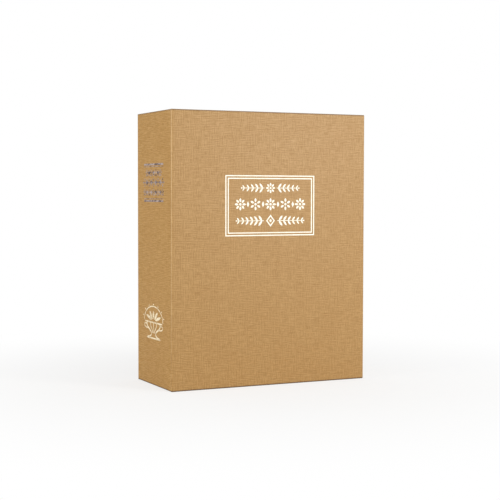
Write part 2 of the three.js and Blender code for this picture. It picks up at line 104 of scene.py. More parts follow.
# A node tree while it is being wired
class Wiring:
    def __init__(self, tree):
        self.tree = tree

    def feed(self, socket, value):
        if isinstance(value, Wire):
            self.tree.links.new(value.socket, socket)
        else:
            socket.default_value = value

    def node(self, kind, settings, sockets, out=0):
        made = self.tree.nodes.new("ShaderNode" + kind)
        for name, value in settings.items():
            setattr(made, name, value)
        for name, value in sockets.items():
            self.feed(made.inputs[name], value)
        return Wire(self, made.outputs[out])

    def sum(self, operation, a, b=0):
        return self.node("Math", {"operation": operation}, {0: a, 1: b})

    # 1 for what the camera, metal or glass sees, 0 for the light that falls on the object
    def seen(self):
        rays = self.node("LightPath", {}, {}, "Is Camera Ray")
        mirrored = self.sum("MAXIMUM", rays, rays.beside("Is Glossy Ray"))
        return self.sum("MAXIMUM", mirrored, rays.beside("Is Transmission Ray"))


# A material while it is being wired
class Finish(Wiring):
    def __init__(self, name, constants):
        self.material = bpy.data.materials.new(name)
        self.material.use_nodes = True
        super().__init__(self.material.node_tree)
        self.shader = self.tree.nodes["Principled BSDF"]
        self.coords = self.node("TexCoord", {}, {}, "Object")
        self.set(constants)

    def set(self, sockets):
        for name, value in sockets.items():
            self.feed(self.shader.inputs[name], value)

    def grain(self, scale, detail=2.0, rough=0.5, vector=None):
        sockets = {"Vector": vector or self.coords, "Scale": scale, "Detail": detail, "Roughness": rough}
        return self.node("TexNoise", {}, sockets)

    # Grain with a scale for each axis
    def streaks(self, scales, detail, rough):
        vector = self.node("Mapping", {}, {"Vector": self.coords, "Scale": scales})
        return self.grain(1, detail, rough, vector)

    def blend(self, share, a, b):
        return self.node("Mix", {"data_type": "RGBA"}, {0: share, 6: a, 7: b}, 2)

    def fade(self, value, low, high, toLow=0.0, toHigh=1.0):
        sockets = {"Value": value, "From Min": low, "From Max": high, "To Min": toLow, "To Max": toHigh}
        return self.node("MapRange", {"interpolation_type": "SMOOTHSTEP"}, sockets)

    # The usual range of a grain, spread from one value to another
    def spread(self, grain, toLow=0.0, toHigh=1.0):
        return self.fade(grain, 0.3, 0.7, toLow, toHigh)

    def painted(self, name):
        return self.node("Attribute", {"attribute_name": name}, {}, "Fac")

    def done(self, colour, roughness, height, strength, depth):
        bump = self.node("Bump", {}, {"Height": height, "Strength": strength, "Distance": depth * mm})
        self.set({"Base Color": colour, "Roughness": roughness, "Normal": bump})
        return self.material


# A colour read off as 0 to 255, made linear
def tone(red, green, blue):
    def linear(value):
        value = value / 255
        return value / 12.92 if value <= 0.04045 else ((value + 0.055) / 1.055) ** 2.4
    return (linear(red), linear(green), linear(blue), 1)


# Linen-embossed tan paper: crossed threads that show more in some patches, with thick and thin runs
paperLook = {
    "thread": tone(185, 145, 88), "furrow": tone(158, 118, 62), "shades": (0.295, 0.565),
    "weftPitch": 1.4, "warpPitch": 1.5, "threads": 0.13, "shown": (0.45, 0.62),
    "wander": 250, "wanderBy": 5,
    "slub": 1400, "slubRun": 120, "slubs": 0.36,  # scales across and along the weft, and share
    "rib": 1500, "ribRun": 300, "ribs": 0.24,  # and across and along the warp
    "patch": 320, "patchRun": 90,  # and across and along where the threads stand out
    "fibre": 2300, "fibres": 0.26,
    "cloud": tone(161, 116, 58), "cloudScale": 30, "clouds": 0.1,
    "relief": 0.1, "bump": 0.5, "gloss": 0.45, "roughness": (0.28, 0.6, 0.57, 0.46),
    # The crest of a fold is painted pale, as wear and as a highlight, in two steps between these heights
    "wearAndHighlightTone": tone(245, 210, 163), "rubAndHighlightGrain": 260,
    "lowRubAndHighlight": (10, 70), "lowShare": 0.42, "highRubAndHighlight": (100, 210), "highShare": 0.3,
    # A dark line of painted shade where the paper is turned over at head and tail
    "edgeShade": tone(92, 66, 36), "atHead": 0.6, "atTail": 0.9,
    "headLine": (238.8, 239.3), "headEnd": (239.9, 239.99), "tailEnd": (0.01, 0.1), "tailLine": (0.7, 1.5),
}


def linenPaper(name, look):
    finish = Finish(name, {"Specular IOR Level": look["gloss"]})
    place = finish.node("SeparateXYZ", {}, {0: finish.coords}, "X")
    across, height = place + place.beside("Y"), place.beside("Z")
    wander = finish.grain(look["wander"], 1.0) * look["wanderBy"]

    def runs(level, upright):
        return finish.streaks((level, level, upright), 1.0, 0.4)

    def threads(along, pitch, patches):
        wave = finish.sum("SINE", along * (2 * math.pi / (pitch * mm)) + wander)
        return wave * finish.fade(patches, *look["shown"])

    def above(heights, share=1.0):  # nothing below the first height, a share above the second
        return finish.fade(height, heights[0] * mm, heights[1] * mm, 0.0, share)

    weft = runs(look["slubRun"], look["slub"])
    warp = runs(look["rib"], look["ribRun"])
    level = threads(height, look["weftPitch"], runs(look["patchRun"], look["patch"]))
    upright = threads(across, look["warpPitch"], runs(look["patch"], look["patchRun"]))
    relief = weft * look["slubs"] + warp * look["ribs"] + (level + upright) * look["threads"]
    relief = relief + finish.grain(look["fibre"], 1) * look["fibres"]
    colour = finish.blend(finish.fade(relief, *look["shades"]), look["furrow"], look["thread"])
    cloud = finish.fade(finish.grain(look["cloudScale"], 2), 0.35, 0.7)
    colour = finish.blend(cloud * look["clouds"], colour, look["cloud"])
    # Painted highlight and wear: the crest of a fold is made pale, more so towards the head
    growsTowardsHead = above(look["lowRubAndHighlight"], look["lowShare"]) + above(look["highRubAndHighlight"], look["highShare"])
    rubbedAndSheen = finish.painted("wearAndHighlight") * finish.fade(finish.grain(look["rubAndHighlightGrain"], 2), 0.3, 0.6, 0.7, 1.0)
    colour = finish.blend(rubbedAndSheen * growsTowardsHead, colour, look["wearAndHighlightTone"])
    # Painted shade: a dark line along head and tail, darker at the tail
    head = above(look["headLine"]) * (1 - above(look["headEnd"]))
    tail = above(look["tailEnd"]) * (1 - above(look["tailLine"]))
    colour = finish.blend(head * look["atHead"] + tail * look["atTail"], colour, look["edgeShade"])
    return finish.done(colour, finish.fade(relief, *look["roughness"]), relief, look["bump"], look["relief"])


# Smooth cream paper inside the covers
def linerPaper():
    finish = Finish("linerPaper", {"Specular IOR Level": 0.3})
    fibres = finish.streaks((1500, 1500, 520), 3, 0.6)
    cloud = finish.fade(finish.grain(60, 2), 0.35, 0.7)
    colour = finish.blend(finish.spread(fibres), tone(235, 227, 208), tone(241, 235, 218))
    colour = finish.blend(cloud * 0.2, colour, tone(228, 217, 192))
    return finish.done(colour, finish.spread(fibres, 0.78, 0.66), fibres, 0.3, 0.04)


# Grey bookbinding board
def pulpBoard():
    finish = Finish("pulpBoard", {"Specular IOR Level": 0.25})
    pulp = finish.grain(1400, 4, 0.65)
    flecks = finish.fade(finish.grain(2600, 1), 0.66, 0.74)
    colour = finish.blend(finish.spread(pulp), tone(140, 132, 120), tone(168, 160, 147))
    colour = finish.blend(flecks * 0.6, colour, tone(96, 88, 76))
    return finish.done(colour, finish.spread(pulp, 0.95, 0.85), pulp, 0.5, 0.12)


# Ivory moulding, ribbed like the edges of pages
def pageMoulding():
    aged = tone(230, 210, 174)
    finish = Finish("pageMoulding", {"Specular IOR Level": 0.4})
    lines = finish.streaks((14, 3200, 14), 2, 0.6)
    cloud = finish.fade(finish.streaks((22, 60, 22), 3, 0.55), 0.45, 0.75)
    colour = finish.blend(finish.fade(lines, 0.3, 0.62) * 0.45 + 0.55, aged, tone(244, 234, 212))
    colour = finish.blend(cloud * 0.35, colour, aged)
    # Painted shade: the furrows between the pages are darkened
    colour = finish.blend(finish.painted("furrow") * 0.75, colour, tone(203, 179, 142))
    return finish.done(colour, finish.spread(lines, 0.6, 0.45), lines, 0.25, 0.05)


# Black powder coat with a slight orange peel
def powderCoat():
    finish = Finish("powderCoat", {"Metallic": 0.0, "Specular IOR Level": 0.5})
    peel = finish.grain(2100, 2, 0.5)
    colour = finish.blend(finish.spread(finish.grain(35, 3)), tone(27, 28, 30), tone(37, 38, 41))
    return finish.done(colour, finish.spread(peel, 0.36, 0.5), peel, 0.35, 0.06)


# Bright plated metal: two tones, roughness from and to, scales of the brushing and its depth
def plating(name, low, high, roughness, run, relief):
    finish = Finish(name, {"Metallic": 1.0})
    brush = finish.streaks(run, 3, 0.6)
    colour = finish.blend(finish.spread(finish.grain(160, 3, 0.6)), tone(*low), tone(*high))
    return finish.done(colour, finish.spread(brush, *roughness), brush, 0.2, relief)


# Charcoal felt
def felt():
    finish = Finish("felt", {"Sheen Weight": 0.5, "Sheen Roughness": 0.4, "Specular IOR Level": 0.1})
    wool = finish.grain(1700, 5, 0.7)
    curls = finish.grain(420, 3, 0.6)
    colour = finish.blend(finish.fade(wool, 0.35, 0.68), tone(30, 31, 36), tone(66, 68, 76))
    colour = finish.blend(finish.fade(curls, 0.5, 0.75) * 0.3, colour, tone(80, 82, 90))
    return finish.done(colour, finish.spread(wool, 1.0, 0.88), wool * 0.6 + curls * 0.4, 0.9, 0.35)


# Stamping foil, broken a little by the threads of the paper under it and by broad patches of painted sheen
def foil(name, low, high, metallic, gloss, roughness):
    finish = Finish(name, {"Metallic": metallic, "Specular IOR Level": gloss})
    weft = finish.streaks((260, 260, 1900), 1.5, 0.45)
    warp = finish.streaks((1900, 1900, 260), 1.5, 0.45)
    press = weft * 0.5 + warp * 0.5
    # Broad patches of painted sheen
    rubbedAndSheen = finish.streaks((200, 200, 420), 1.5, 0.5)
    colour = finish.blend(finish.fade(press * 0.5 + rubbedAndSheen * 0.5, 0.4, 0.6), tone(*low), tone(*high))
    return finish.done(colour, finish.spread(press, *roughness), press, 0.4, 0.06)


finishes = {
    "paper": linenPaper("linenPaper", paperLook),
    "spinePaper": linenPaper("spinePaper", dict(paperLook, gloss=0.1)),  # rubbed dull by hands
    "liner": linerPaper(),
    "board": pulpBoard(),
    "pages": pageMoulding(),
    "steel": powderCoat(),
    "felt": felt(),
    "chrome": plating("chromePlate", (205, 207, 209), (222, 223, 225), (0.06, 0.16), (300, 300, 300), 0.01),
    "zinc": plating("zincPlate", (168, 172, 172), (196, 198, 194), (0.26, 0.42), (900, 300, 900), 0.03),
    "brass": plating("waferBrass", (190, 150, 80), (214, 178, 104), (0.22, 0.36), (900, 300, 900), 0.02),
    "whiteFoil": foil("whiteFoil", (250, 243, 222), (255, 253, 240), 0.0, 0.5, (0.5, 0.35)),
    # Painted reflections: the dark and light tones of this hardly metallic foil
    "silverFoil": foil("silverFoil", (70, 50, 48), (172, 155, 150), 0.1, 0.15, (0.55, 0.4)),
    "creamFoil": foil("creamFoil", (204, 182, 144), (242, 226, 194), 0.1, 0.3, (0.5, 0.35)),
}
print("finishes wired:", len(finishes))


def newPiece(name, mesh, finish):
    made = bpy.data.meshes.new(name)
    mesh.to_mesh(made)
    mesh.free()
    made.materials.append(finishes[finish])
    piece = bpy.data.objects.new(name, made)
    bpy.context.scene.collection.objects.link(piece)
    return piece


def settle(piece, body, slot, *stoodFor):
    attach(piece, body)
    if stoodFor:
        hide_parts(*stoodFor)
    return piece


def smooth(piece, angle):
    for face in piece.data.polygons:
        face.use_smooth = True
    piece.data.set_sharp_from_angle(angle=math.radians(angle))
    return piece


def fitted(name, mesh, finish, angle, body, slot, node):
    return settle(smooth(newPiece(name, mesh, finish), angle), body, slot, node)


def paint(piece, name, rule):  # a number for each vertex, from its place
    layer = piece.data.attributes.new(name, "FLOAT", "POINT")
    layer.data.foreach_set("value", [rule(vertex.co) for vertex in piece.data.vertices])


def metres(sizes):  # the lengths of a dictionary
    return {key: value * mm for key, value in sizes.items()}


def near(a, b):
    return abs(a - b) < 1e-6


def middle(face):
    return face.calc_center_median()


def only(kind, items):
    return [item for item in items if isinstance(item, kind)]


def once(items):
    return list(dict.fromkeys(items))


def faceOut(mesh):
    bmesh.ops.recalc_face_normals(mesh, faces=mesh.faces)


def roundEdges(mesh, edges, radius, segments):
    bmesh.ops.bevel(mesh, geom=edges, offset=radius, offset_type="OFFSET", segments=segments,
                    profile=0.5, affect="EDGES", material=-1, clamp_overlap=True)


def roundCorners(mesh, corners, radius, segments):
    bmesh.ops.bevel(mesh, geom=corners, offset=radius, offset_type="OFFSET", segments=segments,
                    profile=0.5, affect="VERTICES", material=-1)


def chain(mesh, points, closed=False):  # a run of edges through some points
    corners = [mesh.verts.new(point) for point in points]
    ahead = corners[1:] + (corners[:1] if closed else [])
    return corners, [mesh.edges.new(pair) for pair in zip(corners, ahead)]


def pushed(mesh, edges):  # edges extruded in place: the new vertices and edges
    grown = bmesh.ops.extrude_edge_only(mesh, edges=edges)["geom"]
    return only(BMVert, grown), [edge for edge in only(BMEdge, grown) if edge.is_boundary]


def raised(mesh, faces, by):  # faces extruded and moved: the new vertices
    corners = only(BMVert, bmesh.ops.extrude_face_region(mesh, geom=faces)["geom"])
    bmesh.ops.translate(mesh, vec=by, verts=corners)
    return corners


def thicken(mesh, wall):  # a wall grown inwards from faces that point outwards
    faceOut(mesh)
    bmesh.ops.solidify(mesh, geom=mesh.faces[:], thickness=wall)


# Covers: board wrapped in paper, with turn-ins mitred at the fore-edge corners
coverSizes = {"foilDepth": 0.03, "outerRadius": 0.85, "steps": 5, "turnIn": 15, "paper": 0.4, "mitre": 0.35}


def coverSkin(name, node, inward, body):
    s = metres(coverSizes)
    low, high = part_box(node)
    if inward > 0:
        low.y += s["foilDepth"]
    else:
        high.y -= s["foilDepth"]
    outerY, innerY = (low.y, high.y) if inward > 0 else (high.y, low.y)
    inX, inLow, inHigh = high.x - s["turnIn"], low.z + s["turnIn"], high.z - s["turnIn"]
    mesh = bmesh.new()
    bmesh.ops.create_cube(mesh, size=1)
    bmesh.ops.scale(mesh, vec=high - low, verts=mesh.verts)
    bmesh.ops.translate(mesh, vec=(low + high) / 2, verts=mesh.verts)
    spineEnd = [face for face in mesh.faces if face.normal.x < -0.9]
    bmesh.ops.delete(mesh, geom=spineEnd, context="FACES_ONLY")
    for place, normal in (((0, 0, inLow), (0, 0, 1)), ((0, 0, inHigh), (0, 0, 1)), ((inX, 0, 0), (1, 0, 0))):
        inside = [face for face in mesh.faces if near(middle(face).y, innerY)]
        around = inside + once(edge for face in inside for edge in face.edges)
        around += once(corner for face in inside for corner in face.verts)
        bmesh.ops.bisect_plane(mesh, geom=around, plane_co=place, plane_no=normal, dist=1e-7)
    window = [face for face in mesh.faces
              if near(middle(face).y, innerY) and middle(face).x < inX
              and inLow < middle(face).z < inHigh]
    bmesh.ops.delete(mesh, geom=window, context="FACES")
    for z, turn in ((low.z, inLow), (high.z, inHigh)):
        def at(x, z):
            return [corner for corner in mesh.verts
                    if near(corner.co.x, x) and near(corner.co.y, innerY) and near(corner.co.z, z)]
        mitre = bmesh.ops.connect_verts(mesh, verts=at(high.x, z) + at(inX, turn))["edges"]
        bmesh.ops.split_edges(mesh, edges=mitre)
        for corner in at(inX, turn):  # the two turn-ins draw back from the mitre
            middles = [middle(face) for face in corner.link_faces]
            towards = sum(middles, Vector()) / len(middles) - corner.co
            axis = 0 if abs(towards.z) < abs(towards.x) else 2
            corner.co[axis] += math.copysign(s["mitre"], towards[axis])
    shared = [edge for edge in mesh.edges if len(edge.link_faces) == 2]
    outer = [edge for edge in shared
             if any(near(middle(face).y, outerY) for face in edge.link_faces)]
    corners = [edge for edge in shared
               if abs((edge.verts[0].co - edge.verts[1].co).normalized().y) > 0.9]
    roundEdges(mesh, outer + corners, s["outerRadius"], coverSizes["steps"])
    thicken(mesh, s["paper"])
    fitted(name, mesh, "paper", 40, body, "cover_paper", node)


coverSkin("front_skin", "front_wrap", 1, "cover")
coverSkin("back_skin", "back_wrap", -1, "block")
print("covers wrapped")


# The edge of a strip of paper that is turned over at head and tail: its corners
def turnedOver(mesh, inner, outer, foot, head, hem):
    return chain(mesh, [(*inner, foot + hem), (*inner, foot), (*outer, foot),
                        (*outer, head), (*inner, head), (*inner, head - hem)])[0]


# Spine: the same paper over the spine board
def spineSkin():
    s = metres(coverSizes)
    low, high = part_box("spine_wrap")
    low.x += s["foilDepth"]
    mesh = bmesh.new()
    corners = turnedOver(mesh, (high.x, low.y), (low.x, low.y), low.z, high.z, s["turnIn"])
    roundCorners(mesh, corners[2:4], s["outerRadius"], coverSizes["steps"])
    moved = pushed(mesh, mesh.edges[:])[0]
    bmesh.ops.translate(mesh, vec=(0, high.y - low.y, 0), verts=moved)
    thicken(mesh, s["paper"])
    fitted("spine_skin", mesh, "spinePaper", 40, "spine", "cover_paper", "spine_wrap")


spineSkin()


# Folds: the paper between spine and cover, bent round the corner
foldSizes = {"radius": 1.2, "layers": 0.9, "hem": 15, "turned": 0.432, "steps": 10, "crestFalloff": 2.2}


def foldStrip(name, node, inward, cover):
    s = metres(foldSizes)
    low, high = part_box(node)
    foilDepth = coverSizes["foilDepth"] * mm
    outX = low.x + foilDepth
    outY = low.y + foilDepth if inward > 0 else high.y - foilDepth
    inY = outY + inward * s["layers"]
    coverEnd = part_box(cover)[0].x
    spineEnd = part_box("spine_wrap")[0].y if inward > 0 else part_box("spine_wrap")[1].y
    radius = s["radius"] - foilDepth
    mesh = bmesh.new()
    corners = turnedOver(mesh, (coverEnd, inY), (coverEnd, outY), low.z, high.z, s["hem"])
    roundCorners(mesh, corners[1:5], s["turned"], 4)
    moved, rim = pushed(mesh, mesh.edges[:])
    bmesh.ops.translate(mesh, vec=(outX + radius - coverEnd, 0, 0), verts=moved)
    centre = (outX + radius, outY + inward * radius, 0)
    spun = bmesh.ops.spin(mesh, geom=moved + rim, cent=centre, axis=(0, 0, -inward), dvec=(0, 0, 0),
                          angle=math.pi / 2, steps=foldSizes["steps"], use_merge=False, use_duplicate=False)
    for corner in pushed(mesh, only(BMEdge, spun["geom_last"]))[0]:
        corner.co.y = spineEnd
    bmesh.ops.remove_doubles(mesh, verts=mesh.verts, dist=1e-7)
    thicken(mesh, coverSizes["paper"] * mm)
    piece = smooth(newPiece(name, mesh, "paper"), 40)

    # Mask of the pale crest: wear and a painted highlight
    def wearAndHighlight(place):  # full along the crest of the fold
        along = (place.x - outX) / radius
        across = inward * (place.y - outY) / radius
        return max(0.0, 1.0 - foldSizes["crestFalloff"] * abs(along - across)) if along < 1 and across < 1 else 0.0

    paint(piece, "wearAndHighlight", wearAndHighlight)
    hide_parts(node)
    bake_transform(piece)


foldStrip("front_fold", "front_crease", 1, "front_wrap")
foldStrip("back_fold", "back_crease", -1, "back_wrap")
print("spine and folds wrapped")


# Liners: paper glued over the inside of each board and turned over its end at the fold
linerSizes = {"paper": 0.3, "clear": 0.02, "down": 2.35, "round": 0.25, "on": 2.5}


def liner(name, node, body, outline, ends):
    s = metres(linerSizes)
    low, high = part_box(node)
    mesh = bmesh.new()
    edges = chain(mesh, [(x, y, low.z) for x, y in outline], closed=True)[1]
    bmesh.ops.contextual_create(mesh, geom=edges)
    raised(mesh, mesh.faces[:], (0, 0, high.z - low.z))
    turned = []
    for edge in mesh.edges:
        foot, head = edge.verts[0].co, edge.verts[1].co
        corner = any(near(foot.x, x) and near(foot.y, y) for x, y in outline[1:-1:3])
        if corner and abs(foot.z - head.z) > 0.1:
            turned.append(edge)
    roundEdges(mesh, turned, s["round"], 4)
    faceOut(mesh)
    for place, beyond in ends:  # what is turned over runs on to head and tail
        bmesh.ops.bisect_plane(mesh, geom=mesh.verts[:] + mesh.edges[:] + mesh.faces[:],
                               plane_co=place, plane_no=beyond, dist=1e-7)
        for side in (-1, 1):
            caps = [face for face in mesh.faces if face.normal.z * side > 0.9
                    and (middle(face) - Vector(place)).dot(beyond) > 0]
            raised(mesh, caps, (0, 0, side * s["on"]))
            bmesh.ops.delete(mesh, geom=caps, context="FACES")
    fitted(name, mesh, "liner", 30, body, "endpaper", node)


def coverLiner(name, node, body, board, inward):
    s = metres(linerSizes)
    low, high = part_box(node)
    shown, glued = (high.y, low.y) if inward > 0 else (low.y, high.y)
    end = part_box(board)[0].x - s["clear"]
    over = end - s["paper"]
    tip = glued - inward * s["down"]
    outline = [(high.x, shown), (over, shown), (over, tip), (end, tip), (end, glued), (high.x, glued)]
    liner(name, node, body, outline, [((end, 0, 0), Vector((-1, 0, 0)))])


def spineLiner():
    s = metres(linerSizes)
    low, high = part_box("spine_liner")
    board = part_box("spine_board")
    foot, head = board[0].y - s["clear"], board[1].y + s["clear"]
    under, over = foot - s["paper"], head + s["paper"]
    tip = low.x - s["down"]
    outline = [(tip, under), (high.x, under), (high.x, over), (tip, over),
               (tip, head), (low.x, head), (low.x, foot), (tip, foot)]
    ends = [((0, foot, 0), Vector((0, -1, 0))), ((0, head, 0), Vector((0, 1, 0)))]
    liner("spine_lining", "spine_liner", "spine", outline, ends)


coverLiner("front_liner", "front_endpaper", "cover", "front_board", 1)
coverLiner("back_liner", "back_endpaper", "block", "back_board", -1)
spineLiner()
print("liners glued")


# A CAD node's mesh with its doubles merged
def copied(node):
    mesh = bmesh.new()
    mesh.from_mesh(nodes[node].data)
    bmesh.ops.remove_doubles(mesh, verts=mesh.verts, dist=2e-6)
    return mesh


def flattened(mesh):  # flats made whole
    bmesh.ops.dissolve_limit(mesh, angle_limit=math.radians(0.5), verts=mesh.verts, edges=mesh.edges)


def sharper(mesh, angle):
    return [edge for edge in mesh.edges
            if len(edge.link_faces) == 2 and edge.calc_face_angle(0) > math.radians(angle)]


# A node's own shape with its sharp edges rounded
def dressed(name, node, finish, body, slot, radius):
    mesh = copied(node)
    flattened(mesh)
    roundEdges(mesh, sharper(mesh, 34), radius * mm, 2)
    fitted(name, mesh, finish, 34, body, slot, node)


# Page block: a plain moulding inside a ribbed skin on head, tail and fore-edge
pageSizes = {"skin": 1.0, "pitch": 0.6, "crest": 0.06, "shallow": 0.16, "deep": 0.42, "flat": 0.34,
             "windowEdge": 0.6, "rim": 4}
pageSeed, pageRange = 12, (0.75, 1.25)
grooveShares = (0.35, 0.6, 0.95)  # of a page's pitch: where it is deep, and where it ends


def pageBody():
    s = metres(pageSizes)
    low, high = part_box("page_block")
    mesh = copied("page_block")
    for corner in mesh.verts:
        corner.co.x = min(corner.co.x, high.x - s["skin"])
        corner.co.z = min(max(corner.co.z, low.z + s["skin"]), high.z - s["skin"])
    flattened(mesh)
    inLow, inHigh = low + Vector((s["rim"], 0, s["rim"])), high - Vector((s["rim"], 0, s["rim"]))
    window = [edge for edge in sharper(mesh, 60)
              if all(near(corner.co.y, low.y) and inLow.x < corner.co.x < inHigh.x
                     and inLow.z < corner.co.z < inHigh.z for corner in edge.verts)]
    roundEdges(mesh, window, s["windowEdge"], 3)
    fitted("page_moulding", mesh, "pages", 30, "block", "page_moulding", "page_block")


def pageEdges():
    low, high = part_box("page_block")
    draw = random.Random(pageSeed)
    s = metres(pageSizes)
    profile = [(low.y, 0.0)]
    y = low.y + s["flat"]
    while y < high.y - 2 * s["pitch"]:
        depth = draw.uniform(s["shallow"], s["deep"])
        step = s["pitch"] * draw.uniform(*pageRange)
        crest = draw.uniform(0.0, s["crest"])
        down, up, end = [y + step * share for share in grooveShares]
        profile += [(y, crest), (down, depth), (up, depth), (end, crest)]
        y += step
    profile += [(high.y, 0.0), (high.y, s["skin"]), (low.y, s["skin"])]
    mesh = bmesh.new()
    rim = chain(mesh, [(low.x, place, low.z + depth) for place, depth in profile], closed=True)[1]
    bmesh.ops.contextual_create(mesh, geom=rim)
    # Along the tail, up the fore-edge and back along the head, with mitred corners
    for leg in (lambda x, y, z: (high.x - (z - low.z), y, z),
                lambda x, y, z: (x, y, high.z - (high.x - x)),
                lambda x, y, z: (low.x, y, z)):
        moved, rim = pushed(mesh, rim)
        for corner in moved:
            corner.co = leg(*corner.co)
    bmesh.ops.contextual_create(mesh, geom=rim)
    faceOut(mesh)
    piece = newPiece("page_edges", mesh, "pages")

    # How deep a point lies in the ribs, for the painted shade in the furrows
    def furrow(place):
        depth = min(high.x - place.x, place.z - low.z, high.z - place.z)
        return min(1.0, depth / s["deep"]) if depth < s["skin"] * 0.9 else 0.0

    paint(piece, "furrow", furrow)
    settle(piece, "block", "page_moulding", "page_block")


pageBody()
pageEdges()
print("page block ribbed")

# Steel box and door, with the edges of the sheet rolled over by the coating
coatedEdge = 0.22
dressed("box_case", "box_shell", "steel", "block", "black_steel", coatedEdge)
dressed("door_leaf", "door", "steel", "door", "black_steel", coatedEdge)

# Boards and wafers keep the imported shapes
kept = {"front_board": "board", "back_board": "board", "spine_board": "board"}
kept.update({f"lock_wafer_{index}": "brass" for index in range(1, 6)})
for node, finish in kept.items():
    nodes[node].data.materials.clear()
    nodes[node].data.materials.append(finishes[finish])
print("steel and boards finished")


# A profile of (radius, place along the axis) spun about a line; axis is 1 for Y and 2 for Z
def lathe(profile, centre, axis, steps, closed=False):
    def place(radius, along):
        point = Vector(centre)
        point[axis] += along * mm
        point[0] += radius * mm
        return point
    mesh = bmesh.new()
    corners, edges = chain(mesh, [place(radius, along) for radius, along in profile], closed)
    turn = Vector((0, 0, 0))
    turn[axis] = 1
    bmesh.ops.spin(mesh, geom=corners + edges, cent=centre, axis=turn, dvec=(0, 0, 0),
                   angle=2 * math.pi, steps=steps, use_merge=True, use_duplicate=False)
    bmesh.ops.remove_doubles(mesh, verts=mesh.verts, dist=1e-7)
    faceOut(mesh)
    return mesh


# A quarter of an ellipse, from near the pole towards the rim
def dome(radius, height, angles):
    turns = [math.radians(angle) for angle in angles]
    return [(radius * math.sin(turn), height * (1 - math.cos(turn))) for turn in turns]


# Cam lock, measured back from the front face of the door; the head's back and the thread meet at seat
lockSizes = {
    "bore": 6.2, "body": 8, "flat": 6.8, "bodyEnd": 10, "chamfer": 0.2, "seat": -0.05,
    "threadRoot": 7.6, "threadPitch": 1.0, "threads": 8, "lead": 0.4, "crest": (0.4, 0.6),
    "head": 10, "front": -2.25, "edge": 0.12,
    # Round the front of the head, from the bore to the rim: radius, and how far behind the front
    "face": ((6.2, 0.35), (6.5, 0.05), (6.8, 0), (7.3, 0), (7.5, 0.18), (7.8, 0.18), (8, 0),
             (9, 0.02), (9.45, 0.14), (9.8, 0.42), (9.97, 0.85), (10, 1.2)),
    # Bore, half of the width, front and back
    "washer": (8.2, 10.5, 1.25, 2.05), "nut": (8.2, 11, 2.1, 5.1), "nutRim": 0.1, "nutSlope": 0.55,
}
lockCentre = Vector(joints["lock_turn"]["pos_m"])


def lockHousing():
    s = lockSizes
    root, pitch, end = s["threadRoot"], s["threadPitch"], s["bodyEnd"]
    head = [(s["bore"], s["seat"])] + [(radius, s["front"] + behind) for radius, behind in s["face"]]
    head += [(s["head"], s["seat"] - s["edge"]), (s["head"] - s["edge"], s["seat"])]
    barrel = [(s["bore"], s["seat"]), (s["bore"], end - s["chamfer"]),
              (s["bore"] + s["chamfer"], end), (root - s["chamfer"], end)]
    for turn in range(s["threads"]):
        y = end - s["lead"] - turn * pitch
        barrel += [(root, y)] + [(s["body"], y - share * pitch) for share in s["crest"]]
    barrel += [(root, y - pitch), (root, s["seat"])]
    mesh = lathe(head, lockCentre, 1, 72, closed=True)
    body = lathe(barrel, lockCentre, 1, 72, closed=True)
    for side in (-1, 1):
        place = lockCentre + Vector((side * s["flat"] * mm, 0, 0))
        geometry = body.verts[:] + body.edges[:] + body.faces[:]
        cut = bmesh.ops.bisect_plane(body, geom=geometry, plane_co=place, plane_no=(side, 0, 0),
                                     clear_outer=True, dist=1e-7)["geom_cut"]
        bmesh.ops.contextual_create(body, geom=only(BMEdge, cut))
    faceOut(body)
    turned = bpy.data.meshes.new("barrel")
    body.to_mesh(turned)
    body.free()
    mesh.from_mesh(turned)
    bpy.data.meshes.remove(turned)
    fitted("lock_case", mesh, "chrome", 30, "door", "chrome_plate", "lock_housing")


def lockWasher():
    inner, outer, front, back = lockSizes["washer"]
    edge = lockSizes["edge"]
    mesh = lathe([(inner, front), (outer - edge, front), (outer, front + edge), (outer, back - edge),
                  (outer - edge, back), (inner, back)], lockCentre, 1, 64, closed=True)
    fitted("washer", mesh, "zinc", 30, "door", "zinc_plate", "lock_washer")


def lockNut():
    bore, half, front, back = lockSizes["nut"]
    flat = half - lockSizes["nutRim"]
    seat = Matrix.Translation(lockCentre + Vector((0, front * mm, 0))) @ Matrix.Rotation(math.pi / 2, 4, "X")
    mesh = bmesh.new()
    bmesh.ops.create_circle(mesh, segments=6, radius=half / math.cos(math.pi / 6) * mm,
                            matrix=seat @ Matrix.Rotation(math.pi / 2, 4, "Z"))
    bmesh.ops.subdivide_edges(mesh, edges=mesh.edges, cuts=7)
    rings = [mesh.edges[:]]
    for radius in (flat, bore):
        made = bmesh.ops.create_circle(mesh, segments=48, radius=radius * mm, matrix=seat)["verts"]
        rings.append(once(edge for point in made for edge in point.link_edges))
    for outside, inside in zip(rings, rings[1:]):
        bmesh.ops.bridge_loops(mesh, edges=outside + inside)
    faceOut(mesh)
    raised(mesh, mesh.faces[:], (0, (back - front) * mm, 0))
    halfWay = lockCentre.y + (front + back) / 2 * mm
    for point in mesh.verts:  # the corners fall away from both faces
        reach = math.hypot(point.co.x - lockCentre.x, point.co.z - lockCentre.z) / mm - flat
        if reach > 0.05:
            point.co.y += math.copysign(reach * lockSizes["nutSlope"] * mm, halfWay - point.co.y)
    faceOut(mesh)
    fitted("nut", mesh, "zinc", 25, "door", "zinc_plate", "lock_nut")


lockHousing()
lockWasher()
lockNut()
dressed("plug", "lock_plug", "chrome", "lock_cylinder", "chrome_plate", 0.12)
dressed("cam", "lock_cam", "zinc", "lock_cylinder", "zinc_plate", 0.28)
print("lock built")

